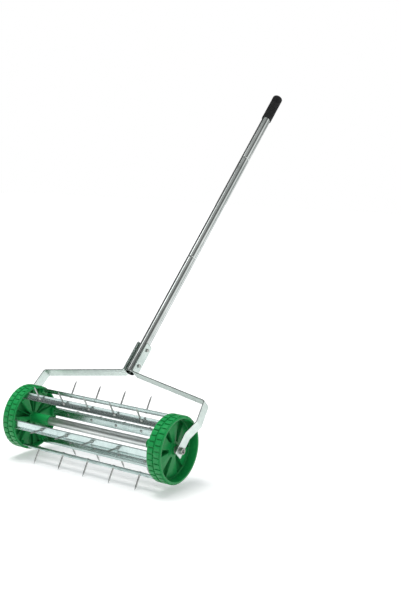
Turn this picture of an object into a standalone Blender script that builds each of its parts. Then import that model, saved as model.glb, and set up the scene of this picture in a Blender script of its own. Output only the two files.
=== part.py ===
"""Manual lawn scarifier: a spiked drum between two wheels, a bent steel yoke and a long handle.

The drum axis lies along X, the front faces -Y and the handle leans back towards +Y. The
ground is Z = 0, where the tips of the two lowest rows of tines stand. X = 0 and Y = 0 are
the middle of the whole tool.
"""

import math

import bmesh
import bpy
from mathutils import Matrix, Vector

# Clearance between pieces that touch or fit in one another.
GAP = 0.0003

# Drum: six slats with tines, carried at both ends by the wheels.
DRUM_WIDTH = 0.600
TINE_TIP_R = 0.140
ROW_NAMES = ("top_rear", "top_front", "front", "bottom_front", "bottom_rear", "rear")
FIRST_ROW_ANGLE = -30.0
TINES_IN_ROW = (4, 5)
END_TINE_TO_WHEEL = 0.058

# Slats: sheet channels that open outwards, with a tongue of bare web at each end.
SLAT_R = 0.087
SLAT_SHEET = 0.0018
SLAT_WEB_WIDTH = 0.0184
SLAT_FLANGE_FLARE = 0.004
SLAT_FLANGE_DEPTH = 0.007
SLAT_TONGUE_DEPTH = 0.009

# Tines: riveted pins with a conical collar outside the slat.
TINE_HEAD_R = 0.0044
TINE_HEAD_HEIGHT = 0.0020
TINE_SHANK_R = 0.0025
TINE_COLLAR_R = 0.0058
TINE_COLLAR_EDGE = 0.0012
TINE_COLLAR_HEIGHT = 0.0080
TINE_STEM_R = 0.0025
TINE_POINT_LENGTH = 0.012
TINE_SEGMENTS = 8

# Wheels: moulded rims with two staggered rows of lugs. Heights run outwards from the
# inner face of the wheel.
WHEEL_WIDTH = 0.048
WHEEL_R = 0.100
WHEEL_SEGMENTS = 48
LUG_HEIGHT = 0.003
LUG_COUNT = 36
LUG_LENGTH = 0.0130
LUG_WIDTH = 0.0180
LUG_ROW_GAP = 0.0040
LUG_ROOT = 0.0020
RIM_CHAMFER = 0.0015
RIM_OUTER_OPENING_R = 0.090
RIM_INNER_OPENING_R = 0.0925
RIM_DRAFT = 0.002
WEB_INNER_Z = 0.0095
WEB_RIM_Z = 0.020
WEB_HUB_Z = 0.028
WEB_WALL = 0.0025
RIB_THICKNESS = 0.002
POCKET_HALF_ANGLE = 10.0
POCKET_INNER_R = 0.024
POCKET_LEDGE = 0.0015
HUB_R = 0.015
HUB_FACE_Z = 0.034
SLEEVE_R = 0.0155
SLEEVE_LENGTH = 0.062
SOCKET_WIDTH = 0.026
SOCKET_INNER_R = 0.080
SOCKET_RECESS = 0.0005

# Axle: a fixed rod through the drum, with nuts and washers at both ends.
AXLE_R = 0.006
AXLE_RECESS = 0.0055
AXLE_CHAMFER = 0.001
CENTRE_TUBE_R = 0.0130
CENTRE_TUBE_WALL = 0.0015
CENTRE_TUBE_SEAT = 0.020
WASHER_R = 0.012
WASHER_THICKNESS = 0.002
AXLE_NUT_WIDTH = 0.019
AXLE_NUT_THICKNESS = 0.010
JAM_NUT_THICKNESS = 0.0096

# Handle: three tubes in line with the drum axis, leaning back from the vertical.
LEAN_ANGLE = 44.5
HANDLE_TUBE_R = 0.0155
HANDLE_TUBE_WALL = 0.0015
HANDLE_START = 0.217
LOWER_TUBE_LENGTH = 0.466
MIDDLE_TUBE_LENGTH = 0.465
UPPER_TUBE_LENGTH = 0.320
TUBE_EDGE = 0.0008
SPIGOT_LENGTH = 0.045
SPIGOT_WALL = 0.0015
SPIGOT_SHOULDER = 0.003
GRIP_LENGTH = 0.115
GRIP_WALL = 0.0025
GRIP_END_THICKNESS = 0.002
GRIP_END_ROUNDING = 0.004
ROUND_SEGMENTS = 24

# Yoke: two bent flat strips. Places are (sideways, up the handle) from the drum axis.
STRIP_THICKNESS = 0.003
STRIP_WIDTH = 0.034
STRIP_BEND_R = 0.006
STRIP_TOP_CORNER_R = 0.007
STRIP_TOP = 0.3265
STRIP_ARM_ROOT = 0.2155
STRIP_SHOULDER = (0.3105, 0.1625)
STRIP_KNEE = (0.3185, 0.0920)
STRIP_JOG_HEIGHT = 0.0440
STRIP_END_BELOW_AXIS = 0.018

# Bolts that clamp the strips to the lower tube, by their places up the handle.
BOLT_PLACES = {"lower": 0.246, "upper": 0.306}
BOLT_R = 0.003
BOLT_HEAD_WIDTH = 0.010
BOLT_HEAD_THICKNESS = 0.004
CLAMP_NUT_THICKNESS = 0.005
BOLT_END_LENGTH = 0.003
BOLT_SEGMENTS = 12
NUT_SIDES = 6
NUT_CHAMFER_ANGLE = 30.0

# How far a cutter reaches past what it cuts, and how finely shapes are rounded and joined.
OVERCUT = 0.001
CORNER_STEPS = 4
WELD_DISTANCE = 0.000005
SMOOTH_ANGLE = 30.0

# Places that follow from the sizes above.
ROW_COUNT = len(ROW_NAMES)
ROW_STEP = 360.0 / ROW_COUNT
WHEEL_INNER_X = DRUM_WIDTH / 2 - WHEEL_WIDTH
TINE_PITCH = 2 * (WHEEL_INNER_X - END_TINE_TO_WHEEL) / (max(TINES_IN_ROW) - 1)
SLAT_INNER_FACE_R = SLAT_R - SLAT_SHEET / 2
SLAT_OUTER_FACE_R = SLAT_R + SLAT_SHEET / 2
BORE_R = AXLE_R + GAP
BOLT_HOLE_R = BOLT_R + GAP
WASHER_X = WHEEL_INNER_X + HUB_FACE_Z + GAP
JAM_NUT_X = WASHER_X + WASHER_THICKNESS + GAP
STRIP_X = JAM_NUT_X + JAM_NUT_THICKNESS + GAP + STRIP_THICKNESS / 2
AXLE_NUT_X = STRIP_X + STRIP_THICKNESS / 2 + GAP
FLANGE_X = HANDLE_TUBE_R + GAP + STRIP_THICKNESS / 2
BOLT_HEAD_X = FLANGE_X + STRIP_THICKNESS / 2 + GAP
MIDDLE_TUBE_START = HANDLE_START + LOWER_TUBE_LENGTH + GAP
UPPER_TUBE_START = MIDDLE_TUBE_START + MIDDLE_TUBE_LENGTH + GAP
HANDLE_TOP = UPPER_TUBE_START + UPPER_TUBE_LENGTH
GRIP_BORE_R = HANDLE_TUBE_R + GAP
GRIP_R = GRIP_BORE_R + GRIP_WALL
GRIP_TOP = HANDLE_TOP + GAP + GRIP_END_THICKNESS

# Turns that lay a piece's own Z along the drum axis.
TOWARDS_RIGHT = (0.0, math.pi / 2, 0.0)
TOWARDS_LEFT = (0.0, -math.pi / 2, 0.0)
# Stands a shape drawn in the XY plane on its edge, so that its height runs along X.
FLAT_TO_UPRIGHT = Matrix(((0, 0, 1, 0), (1, 0, 0, 0), (0, 1, 0, 0), (0, 0, 0, 1)))
SIDES = {"left": (-1, TOWARDS_LEFT), "right": (1, TOWARDS_RIGHT)}

CONSTRUCTION = "construction"


def row_angle(row):
    """Degrees from straight up towards the front, for a row of tines."""
    return FIRST_ROW_ANGLE + ROW_STEP * row


def axis_height():
    """Height of the drum axis when the lowest tine tips stand on the ground."""
    return -TINE_TIP_R * min(math.cos(math.radians(row_angle(row))) for row in range(ROW_COUNT))


def axis_place_y():
    """Place of the drum axis along Y, with the middle of the whole tool at Y = 0."""
    lean = math.radians(LEAN_ANGLE)
    front = TINE_TIP_R * max(math.sin(math.radians(row_angle(row))) for row in range(ROW_COUNT))
    back = (GRIP_TOP - GRIP_END_ROUNDING) * math.sin(lean)
    back += (GRIP_R - GRIP_END_ROUNDING) * math.cos(lean) + GRIP_END_ROUNDING
    return (front - back) / 2


# Scene, collections and materials

def clear_scene():
    for old in list(bpy.data.objects):
        bpy.data.objects.remove(old, do_unlink=True)


def new_collection(name):
    collection = bpy.data.collections.new(name)
    bpy.context.scene.collection.children.link(collection)
    return collection


def new_material(name, colour, roughness, metallic):
    material = bpy.data.materials.new(name)
    material.use_nodes = True
    surface = material.node_tree.nodes["Principled BSDF"]
    surface.inputs["Base Color"].default_value = (*colour, 1.0)
    surface.inputs["Roughness"].default_value = roughness
    surface.inputs["Metallic"].default_value = metallic
    return material


def new_empty(name, collection, location, rotation=(0.0, 0.0, 0.0)):
    empty = bpy.data.objects.new(name, None)
    empty.empty_display_size = WHEEL_WIDTH
    empty.location = location
    empty.rotation_euler = rotation
    collection.objects.link(empty)
    return empty


def new_part(name, mesh, parent, location=(0.0, 0.0, 0.0), rotation=(0.0, 0.0, 0.0)):
    """A finished piece, placed in its parent's frame."""
    piece = bpy.data.objects.new(name, mesh)
    piece.parent = parent
    piece.location = location
    piece.rotation_euler = rotation
    parent.users_collection[0].objects.link(piece)
    return piece


def new_construction(name, data):
    """A base shape or a cutter, kept out of the finished object."""
    shape = bpy.data.objects.new(f"shape_{name}", data)
    shape.hide_render = True
    shape.display_type = 'WIRE'
    bpy.data.collections[CONSTRUCTION].objects.link(shape)
    return shape


def evaluated_mesh(shape, material=None):
    """The shape's mesh with its modifiers, welded, and smooth except at real edges."""
    bpy.context.view_layer.update()
    depsgraph = bpy.context.evaluated_depsgraph_get()
    mesh = bpy.data.meshes.new_from_object(shape.evaluated_get(depsgraph), depsgraph=depsgraph)
    work = bmesh.new()
    work.from_mesh(mesh)
    bmesh.ops.remove_doubles(work, verts=work.verts, dist=WELD_DISTANCE)
    work.to_mesh(mesh)
    work.free()
    mesh.name = shape.name.removeprefix("shape_")
    mesh.materials.clear()
    if material:
        mesh.materials.append(material)
    mesh.shade_smooth()
    mesh.set_sharp_from_angle(angle=math.radians(SMOOTH_ANGLE))
    return mesh


# Outlines

def polar(radius, degrees):
    return Vector((math.cos(math.radians(degrees)), math.sin(math.radians(degrees)))) * radius


def rounded(points, radii):
    """Points of a flat path, with an arc in place of each corner that has a radius."""
    path = [Vector(point) for point in points]
    result = []
    for index, corner in enumerate(path):
        if not radii[index]:
            result.append(corner)
            continue
        before = (path[index - 1] - corner).normalized()
        after = (path[(index + 1) % len(path)] - corner).normalized()
        half_angle = before.angle(after) / 2
        reach = radii[index] / math.tan(half_angle)
        centre = corner + (before + after).normalized() * (radii[index] / math.sin(half_angle))
        start = corner + before * reach - centre
        end = corner + after * reach - centre
        for step in range(CORNER_STEPS + 1):
            result.append(centre + start.lerp(end, step / CORNER_STEPS).normalized() * radii[index])
    return result


def strip_outline(path, thickness):
    """Closed outline of a sheet of even thickness along a flat path, with mitred bends."""
    path = [Vector(point) for point in path]
    runs = [(end - start).normalized() for start, end in zip(path, path[1:])]
    left = []
    right = []
    for index, point in enumerate(path):
        into = runs[max(index - 1, 0)]
        out = runs[min(index, len(runs) - 1)]
        normal = Vector((-into.y, into.x))
        mitre = (normal + Vector((-out.y, out.x))).normalized()
        offset = mitre * (thickness / 2 / mitre.dot(normal))
        left.append(point + offset)
        right.append(point - offset)
    return left + right[::-1]


# Shapes

def flat_solid(name, outline, bottom, top):
    """A filled outline in the XY plane, extruded from one height to another."""
    curve = bpy.data.curves.new(name, 'CURVE')
    curve.dimensions = '2D'
    curve.fill_mode = 'BOTH'
    curve.extrude = (top - bottom) / 2
    curve.render_resolution_u = 0
    spline = curve.splines.new('POLY')
    spline.points.add(len(outline) - 1)
    for point, place in zip(spline.points, outline):
        point.co = (place[0], place[1], 0.0, 1.0)
    spline.use_cyclic_u = True
    drawn = new_construction(name, curve)
    mesh = evaluated_mesh(drawn)
    mesh.transform(Matrix.Translation((0.0, 0.0, (top + bottom) / 2)))
    bpy.data.objects.remove(drawn)
    return new_construction(name, mesh)


def sloped_block(name, outline, bottom, top_at_radius):
    """An outline raised to a top whose height follows the distance from the axis."""
    work = bmesh.new()
    base = work.faces.new([work.verts.new((x, y, bottom)) for x, y in outline])
    raised = bmesh.ops.extrude_face_region(work, geom=[base])
    for item in raised["geom"]:
        if isinstance(item, bmesh.types.BMVert):
            item.co.z = top_at_radius(item.co.xy.length)
    bmesh.ops.recalc_face_normals(work, faces=work.faces)
    mesh = bpy.data.meshes.new(name)
    work.to_mesh(mesh)
    work.free()
    return new_construction(name, mesh)


def turned(name, profile, segments, closed=False):
    """A (radius, height) profile, listed down its outer side, turned about Z."""
    mesh = bpy.data.meshes.new(name)
    edges = [(index, index + 1) for index in range(len(profile) - 1)]
    if closed:
        edges.append((len(profile) - 1, 0))
    mesh.from_pydata([(radius, 0.0, height) for radius, height in profile], edges, [])
    shape = new_construction(name, mesh)
    screw = shape.modifiers.new("turn", 'SCREW')
    screw.axis = 'Z'
    screw.steps = segments
    screw.render_steps = segments
    screw.use_merge_vertices = True
    screw.merge_threshold = WELD_DISTANCE
    return shape


def box(name, low, high):
    low = Vector(low)
    high = Vector(high)
    work = bmesh.new()
    bmesh.ops.create_cube(work, size=1.0)
    bmesh.ops.scale(work, vec=high - low, verts=work.verts)
    bmesh.ops.translate(work, vec=(low + high) / 2, verts=work.verts)
    mesh = bpy.data.meshes.new(name)
    work.to_mesh(mesh)
    work.free()
    return new_construction(name, mesh)


def pin(name, radius, length, segments, centre=(0.0, 0.0, 0.0), rotation=(0.0, 0.0, 0.0)):
    """A plain cylinder, for cutting holes and joining shanks."""
    bpy.ops.mesh.primitive_cylinder_add(vertices=segments, radius=radius, depth=length)
    primitive = bpy.context.object
    shape = new_construction(name, primitive.data)
    bpy.data.objects.remove(primitive)
    shape.location = centre
    shape.rotation_euler = rotation
    return shape


def ring_copies(shape, count, first_angle=0.0):
    """Copies of a shape at even steps about Z, as one construction shape."""
    source = evaluated_mesh(shape)
    work = bmesh.new()
    for index in range(count):
        before = len(work.verts)
        work.from_mesh(source)
        work.verts.ensure_lookup_table()
        turn = Matrix.Rotation(math.radians(first_angle + 360.0 * index / count), 3, 'Z')
        bmesh.ops.rotate(work, cent=(0.0, 0.0, 0.0), matrix=turn, verts=work.verts[before:])
    mesh = bpy.data.meshes.new(shape.name + "_ring")
    work.to_mesh(mesh)
    work.free()
    return new_construction(shape.name + "_ring", mesh)


def boolean(target, operation, tool):
    modifier = target.modifiers.new(tool.name, 'BOOLEAN')
    modifier.operation = operation
    modifier.object = tool


# Wheels

def web_height(radius):
    """Height of the cone between the hub and the rim, on the outer side of the wheel."""
    rim_r = RIM_OUTER_OPENING_R - RIM_DRAFT
    slope = (WEB_RIM_Z - WEB_HUB_Z) / (rim_r - HUB_R)
    return WEB_HUB_Z + slope * (radius - HUB_R)


def wheel_body():
    """The rim, the web cone, the hub and the sleeve that reaches into the drum."""
    tread_r = WHEEL_R - LUG_HEIGHT
    seat_r = CENTRE_TUBE_R + GAP
    seat_z = CENTRE_TUBE_SEAT - SLEEVE_LENGTH
    profile = [
        (tread_r - RIM_CHAMFER, WHEEL_WIDTH),
        (tread_r, WHEEL_WIDTH - RIM_CHAMFER),
        (tread_r, RIM_CHAMFER),
        (tread_r - RIM_CHAMFER, 0.0),
        (RIM_INNER_OPENING_R, 0.0),
        (RIM_INNER_OPENING_R - RIM_DRAFT, WEB_INNER_Z),
        (SLEEVE_R, WEB_INNER_Z),
        (SLEEVE_R, -SLEEVE_LENGTH),
        (seat_r, -SLEEVE_LENGTH),
        (seat_r, seat_z),
        (BORE_R, seat_z),
        (BORE_R, HUB_FACE_Z),
        (HUB_R, HUB_FACE_Z),
        (HUB_R, WEB_HUB_Z),
        (RIM_OUTER_OPENING_R - RIM_DRAFT, WEB_RIM_Z),
        (RIM_OUTER_OPENING_R, WHEEL_WIDTH),
    ]
    return turned("wheel", profile, WHEEL_SEGMENTS, closed=True)


def add_lugs(wheel):
    """Two rows of lugs around the tread, the inner row half a pitch behind the outer one."""
    tread_r = WHEEL_R - LUG_HEIGHT
    face_r = math.sqrt(WHEEL_R ** 2 - (LUG_LENGTH / 2) ** 2)
    row_start = LUG_ROW_GAP / 2
    row_end = row_start + LUG_WIDTH
    for row, (direction, first_angle) in enumerate(((1, 0.0), (-1, 180.0 / LUG_COUNT))):
        edges = sorted((direction * row_start, direction * row_end))
        low = (tread_r - LUG_ROOT, -LUG_LENGTH / 2, WHEEL_WIDTH / 2 + edges[0])
        high = (face_r, LUG_LENGTH / 2, WHEEL_WIDTH / 2 + edges[1])
        lug = box(f"lug_row_{row}", low, high)
        boolean(wheel, 'UNION', ring_copies(lug, LUG_COUNT, first_angle))


def cut_outer_pockets(wheel):
    """Deep triangular pockets in the outer side, between the wedges of the cone."""
    outer_r = RIM_OUTER_OPENING_R - RIM_DRAFT - POCKET_LEDGE
    third = POCKET_HALF_ANGLE / 3
    outline = [polar(POCKET_INNER_R, POCKET_HALF_ANGLE), polar(POCKET_INNER_R, -POCKET_HALF_ANGLE)]
    outline += [polar(outer_r, third * step) for step in (-3, -1, 1, 3)]
    pocket = flat_solid("outer_pocket", outline, WEB_INNER_Z + WEB_WALL, WHEEL_WIDTH)
    boolean(wheel, 'DIFFERENCE', ring_copies(pocket, ROW_COUNT, ROW_STEP / 2))


def cut_inner_pockets(wheel):
    """Hollows behind each wedge of the cone, with a rib between the two halves."""
    inner_r = SLEEVE_R + WEB_WALL
    outer_r = RIM_INNER_OPENING_R - RIM_DRAFT - GAP
    wedge_edge = ROW_STEP / 2 - POCKET_HALF_ANGLE
    inwards = polar(WEB_WALL, wedge_edge - 90.0)
    half_rib = RIB_THICKNESS / 2
    outline = [
        Vector((inner_r, half_rib)),
        Vector((math.sqrt(outer_r ** 2 - half_rib ** 2), half_rib)),
        polar(outer_r, wedge_edge / 3),
        polar(outer_r, wedge_edge * 2 / 3),
        polar(outer_r, wedge_edge) + inwards,
        polar(inner_r, wedge_edge) + inwards,
    ]
    for half, side in enumerate((1, -1)):
        mirrored = [(x, side * y) for x, y in outline]
        name = f"inner_pocket_{half}"
        hollow = sloped_block(name, mirrored, WEB_INNER_Z - OVERCUT, lambda r: web_height(r) - WEB_WALL)
        boolean(wheel, 'DIFFERENCE', ring_copies(hollow, ROW_COUNT))


def add_slat_sockets(wheel):
    """Blocks inside the rim, each with a slot for the tongue of a slat."""
    half_width = SOCKET_WIDTH / 2
    block_r = RIM_INNER_OPENING_R + RIM_CHAMFER
    low = (SOCKET_INNER_R, -half_width, SOCKET_RECESS)
    high = (block_r, half_width, WEB_INNER_Z + WEB_WALL / 2)
    block = box("socket_block", low, high)
    boolean(wheel, 'UNION', ring_copies(block, ROW_COUNT, ROW_STEP / 2))
    half_slot = tongue_width() / 2 + GAP
    low = (SLAT_INNER_FACE_R - GAP, -half_slot, -OVERCUT)
    high = (SLAT_OUTER_FACE_R + GAP, half_slot, SLAT_TONGUE_DEPTH + GAP)
    slot = box("socket_slot", low, high)
    boolean(wheel, 'DIFFERENCE', ring_copies(slot, ROW_COUNT, ROW_STEP / 2))


def make_wheels(drum, plastic):
    wheel = wheel_body()
    cut_outer_pockets(wheel)
    cut_inner_pockets(wheel)
    add_slat_sockets(wheel)
    add_lugs(wheel)
    mesh = evaluated_mesh(wheel, plastic)
    for name, (side, rotation) in SIDES.items():
        new_part(f"wheel_{name}", mesh, drum, (side * WHEEL_INNER_X, 0.0, 0.0), rotation)


# Slats and tines

def tongue_width():
    """Width of the bare web left at the ends of a slat."""
    return SLAT_WEB_WIDTH - SLAT_SHEET


def tine_places(row):
    """Places along the drum of the tines in a row."""
    count = TINES_IN_ROW[row % len(TINES_IN_ROW)]
    return [TINE_PITCH * (index - (count - 1) / 2) for index in range(count)]


def slat_mesh(places, steel):
    """A channel along X, with its web square to Z, end tongues and rivet holes."""
    half_web = SLAT_WEB_WIDTH / 2
    lip = (half_web + SLAT_FLANGE_FLARE, SLAT_R + SLAT_FLANGE_DEPTH)
    path = [(-lip[0], lip[1]), (-half_web, SLAT_R), (half_web, SLAT_R), lip]
    half_length = WHEEL_INNER_X + SLAT_TONGUE_DEPTH
    outline = strip_outline(path, SLAT_SHEET)
    slat = flat_solid(f"slat_of_{len(places)}", outline, -half_length, half_length)
    slat.data.transform(FLAT_TO_UPRIGHT)
    flange_end = WHEEL_INNER_X - GAP
    for end in (-1, 1):
        for edge in (-1, 1):
            xs = sorted((end * flange_end, end * (half_length + OVERCUT)))
            ys = sorted((edge * tongue_width() / 2, edge * (lip[0] + SLAT_SHEET)))
            low = (xs[0], ys[0], SLAT_INNER_FACE_R - OVERCUT)
            high = (xs[1], ys[1], lip[1] + SLAT_SHEET)
            boolean(slat, 'DIFFERENCE', box(f"slat_notch_{end}_{edge}", low, high))
    hole_r = TINE_SHANK_R + GAP
    for place in places:
        centre = (place, 0.0, SLAT_R)
        hole = pin("rivet_hole", hole_r, 4 * SLAT_SHEET, TINE_SEGMENTS, centre)
        boolean(slat, 'DIFFERENCE', hole)
    return evaluated_mesh(slat, steel)


def tine_mesh(steel):
    """A pin along Z whose heights are distances from the drum axis."""
    collar_z = SLAT_OUTER_FACE_R + GAP
    head_z = SLAT_INNER_FACE_R - GAP
    profile = [
        (0.0, TINE_TIP_R),
        (TINE_STEM_R, TINE_TIP_R - TINE_POINT_LENGTH),
        (TINE_STEM_R, collar_z + TINE_COLLAR_HEIGHT),
        (TINE_COLLAR_R, collar_z + TINE_COLLAR_EDGE),
        (TINE_COLLAR_R, collar_z),
        (TINE_SHANK_R, collar_z),
        (TINE_SHANK_R, head_z),
        (TINE_HEAD_R, head_z),
        (TINE_HEAD_R, head_z - TINE_HEAD_HEIGHT / 2),
        (0.0, head_z - TINE_HEAD_HEIGHT),
    ]
    return evaluated_mesh(turned("tine", profile, TINE_SEGMENTS), steel)


def make_rows(drum, steel, tine_steel):
    tine = tine_mesh(tine_steel)
    slats = {count: None for count in TINES_IN_ROW}
    for row, row_name in enumerate(ROW_NAMES):
        places = tine_places(row)
        turn = (math.radians(row_angle(row)), 0.0, 0.0)
        if slats[len(places)] is None:
            slats[len(places)] = slat_mesh(places, steel)
        new_part(f"slat_{row_name}", slats[len(places)], drum, rotation=turn)
        for index, place in enumerate(places):
            new_part(f"tine_{row_name}_{index + 1}", tine, drum, (place, 0.0, 0.0), turn)


def make_centre_tube(drum, steel):
    """The tube around the axle, seated in the sleeves of both wheels."""
    half_length = WHEEL_INNER_X - SLEEVE_LENGTH + CENTRE_TUBE_SEAT - GAP
    inner_r = CENTRE_TUBE_R - CENTRE_TUBE_WALL
    profile = [
        (CENTRE_TUBE_R, half_length),
        (CENTRE_TUBE_R, -half_length),
        (inner_r, -half_length),
        (inner_r, half_length),
    ]
    mesh = evaluated_mesh(turned("centre_tube", profile, ROUND_SEGMENTS, closed=True), steel)
    new_part("centre_tube", mesh, drum, rotation=TOWARDS_RIGHT)


# Axle and fasteners

def nut_shape(name, width, thickness):
    """A hexagon with chamfered corners, standing on Z = 0."""
    flat_r = width / 2
    corner_r = flat_r / math.cos(math.pi / NUT_SIDES)
    cutter_r = corner_r + OVERCUT
    chamfer = (cutter_r - flat_r) * math.tan(math.radians(NUT_CHAMFER_ANGLE))
    outline = [polar(corner_r, 360.0 * corner / NUT_SIDES) for corner in range(NUT_SIDES)]
    hexagon = flat_solid(name, outline, -OVERCUT, thickness + OVERCUT)
    profile = [
        (0.0, thickness),
        (flat_r, thickness),
        (cutter_r, thickness - chamfer),
        (cutter_r, chamfer),
        (flat_r, 0.0),
        (0.0, 0.0),
    ]
    boolean(hexagon, 'INTERSECT', turned(f"{name}_chamfer", profile, 2 * BOLT_SEGMENTS))
    return hexagon


def nut_mesh(name, width, thickness, bore_r, steel):
    nut = nut_shape(name, width, thickness)
    boolean(nut, 'DIFFERENCE', pin(f"{name}_bore", bore_r, 4 * thickness, BOLT_SEGMENTS))
    return evaluated_mesh(nut, steel)


def bolt_mesh(steel):
    """A hexagon head standing on Z = 0, with its shank hanging below."""
    length = 2 * BOLT_HEAD_X + CLAMP_NUT_THICKNESS + BOLT_END_LENGTH
    bolt = nut_shape("clamp_bolt", BOLT_HEAD_WIDTH, BOLT_HEAD_THICKNESS)
    root = BOLT_HEAD_THICKNESS / 2
    shank = pin("bolt_shank", BOLT_R, length + root, BOLT_SEGMENTS, (0.0, 0.0, (root - length) / 2))
    boolean(bolt, 'UNION', shank)
    return evaluated_mesh(bolt, steel)


def axle_rod_mesh(steel):
    half_length = AXLE_NUT_X + AXLE_NUT_THICKNESS - AXLE_RECESS
    profile = [
        (0.0, half_length),
        (AXLE_R - AXLE_CHAMFER, half_length),
        (AXLE_R, half_length - AXLE_CHAMFER),
        (AXLE_R, AXLE_CHAMFER - half_length),
        (AXLE_R - AXLE_CHAMFER, -half_length),
        (0.0, -half_length),
    ]
    return evaluated_mesh(turned("axle_rod", profile, ROUND_SEGMENTS), steel)


def washer_mesh(steel):
    profile = [(WASHER_R, WASHER_THICKNESS), (WASHER_R, 0.0), (BORE_R, 0.0), (BORE_R, WASHER_THICKNESS)]
    return evaluated_mesh(turned("axle_washer", profile, ROUND_SEGMENTS, closed=True), steel)


def make_axle(handle, steel, zinc):
    new_part("axle_rod", axle_rod_mesh(steel), handle, rotation=TOWARDS_RIGHT)
    washer = washer_mesh(zinc)
    jam_nut = nut_mesh("axle_jam_nut", AXLE_NUT_WIDTH, JAM_NUT_THICKNESS, BORE_R, zinc)
    end_nut = nut_mesh("axle_nut", AXLE_NUT_WIDTH, AXLE_NUT_THICKNESS, BORE_R, zinc)
    for name, (side, rotation) in SIDES.items():
        new_part(f"axle_washer_{name}", washer, handle, (side * WASHER_X, 0.0, 0.0), rotation)
        new_part(f"axle_jam_nut_{name}", jam_nut, handle, (side * JAM_NUT_X, 0.0, 0.0), rotation)
        new_part(f"axle_nut_{name}", end_nut, handle, (side * AXLE_NUT_X, 0.0, 0.0), rotation)


def make_clamp_bolts(handle, zinc):
    bolt = bolt_mesh(zinc)
    nut = nut_mesh("clamp_nut", BOLT_HEAD_WIDTH, CLAMP_NUT_THICKNESS, BOLT_HOLE_R, zinc)
    for name, place in BOLT_PLACES.items():
        new_part(f"clamp_bolt_{name}", bolt, handle, (BOLT_HEAD_X, 0.0, place), TOWARDS_RIGHT)
        new_part(f"clamp_nut_{name}", nut, handle, (-BOLT_HEAD_X, 0.0, place), TOWARDS_LEFT)


# Yoke

def yoke_strip_mesh(steel):
    """The right strip, bent in the plane of the drum axis and the handle."""
    end = -STRIP_END_BELOW_AXIS
    path = [
        (FLANGE_X, STRIP_TOP + OVERCUT),
        (FLANGE_X, STRIP_ARM_ROOT),
        STRIP_SHOULDER,
        STRIP_KNEE,
        (STRIP_X, STRIP_KNEE[1] - STRIP_JOG_HEIGHT),
        (STRIP_X, end - OVERCUT),
    ]
    bends = rounded(path, (0, STRIP_BEND_R, STRIP_BEND_R, STRIP_BEND_R, STRIP_BEND_R, 0))
    outline = strip_outline(bends, STRIP_THICKNESS)
    half_width = STRIP_WIDTH / 2
    strip = flat_solid("yoke_strip", outline, -half_width - OVERCUT, half_width + OVERCUT)
    strip.data.transform(Matrix.Rotation(math.pi / 2, 4, 'X'))

    corners = [(-half_width, end), (half_width, end), (half_width, STRIP_TOP), (-half_width, STRIP_TOP)]
    face = rounded(corners, (0, 0, STRIP_TOP_CORNER_R, STRIP_TOP_CORNER_R))
    trim = flat_solid("strip_trim", face, -DRUM_WIDTH, DRUM_WIDTH)
    trim.data.transform(FLAT_TO_UPRIGHT)
    boolean(strip, 'INTERSECT', trim)

    hole_length = 4 * STRIP_THICKNESS
    for place in BOLT_PLACES.values():
        centre = (FLANGE_X, 0.0, place)
        hole = pin("bolt_hole", BOLT_HOLE_R, hole_length, BOLT_SEGMENTS, centre, TOWARDS_RIGHT)
        boolean(strip, 'DIFFERENCE', hole)
    centre = (STRIP_X, 0.0, 0.0)
    hole = pin("axle_hole", BORE_R, hole_length, ROUND_SEGMENTS, centre, TOWARDS_RIGHT)
    boolean(strip, 'DIFFERENCE', hole)
    return evaluated_mesh(strip, steel)


def make_yoke(handle, steel):
    strip = yoke_strip_mesh(steel)
    new_part("yoke_arm_right", strip, handle)
    new_part("yoke_arm_left", strip, handle, rotation=(0.0, 0.0, math.pi))


# Handle

def tube_profile(start, length, spigot):
    """Outer side of a tube downwards, then its bore upwards, with a spigot on top or none."""
    end = start + length
    bore_r = HANDLE_TUBE_R - HANDLE_TUBE_WALL
    spigot_r = bore_r - GAP
    profile = [
        (HANDLE_TUBE_R - TUBE_EDGE, end),
        (HANDLE_TUBE_R, end - TUBE_EDGE),
        (HANDLE_TUBE_R, start + TUBE_EDGE),
        (HANDLE_TUBE_R - TUBE_EDGE, start),
        (bore_r, start),
    ]
    if not spigot:
        return profile + [(bore_r, end)]
    spigot_top = end + SPIGOT_LENGTH
    spigot_bore_r = spigot_r - SPIGOT_WALL
    profile = [(spigot_r, spigot_top), (spigot_r, end)] + profile
    return profile + [(bore_r, end - SPIGOT_SHOULDER), (spigot_bore_r, end), (spigot_bore_r, spigot_top)]


def grip_profile():
    """A closed sleeve over the end of the upper tube."""
    bottom = GRIP_TOP - GRIP_LENGTH
    corner = [(0.0, GRIP_TOP), (GRIP_R, GRIP_TOP), (GRIP_R, bottom)]
    outside = [tuple(point) for point in rounded(corner, (0, GRIP_END_ROUNDING, 0))]
    outside[-1] = (GRIP_R, bottom + TUBE_EDGE)
    inner_top = GRIP_TOP - GRIP_END_THICKNESS
    edge = [(GRIP_R - TUBE_EDGE, bottom), (GRIP_BORE_R, bottom)]
    return outside + edge + [(GRIP_BORE_R, inner_top), (0.0, inner_top)]


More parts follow.
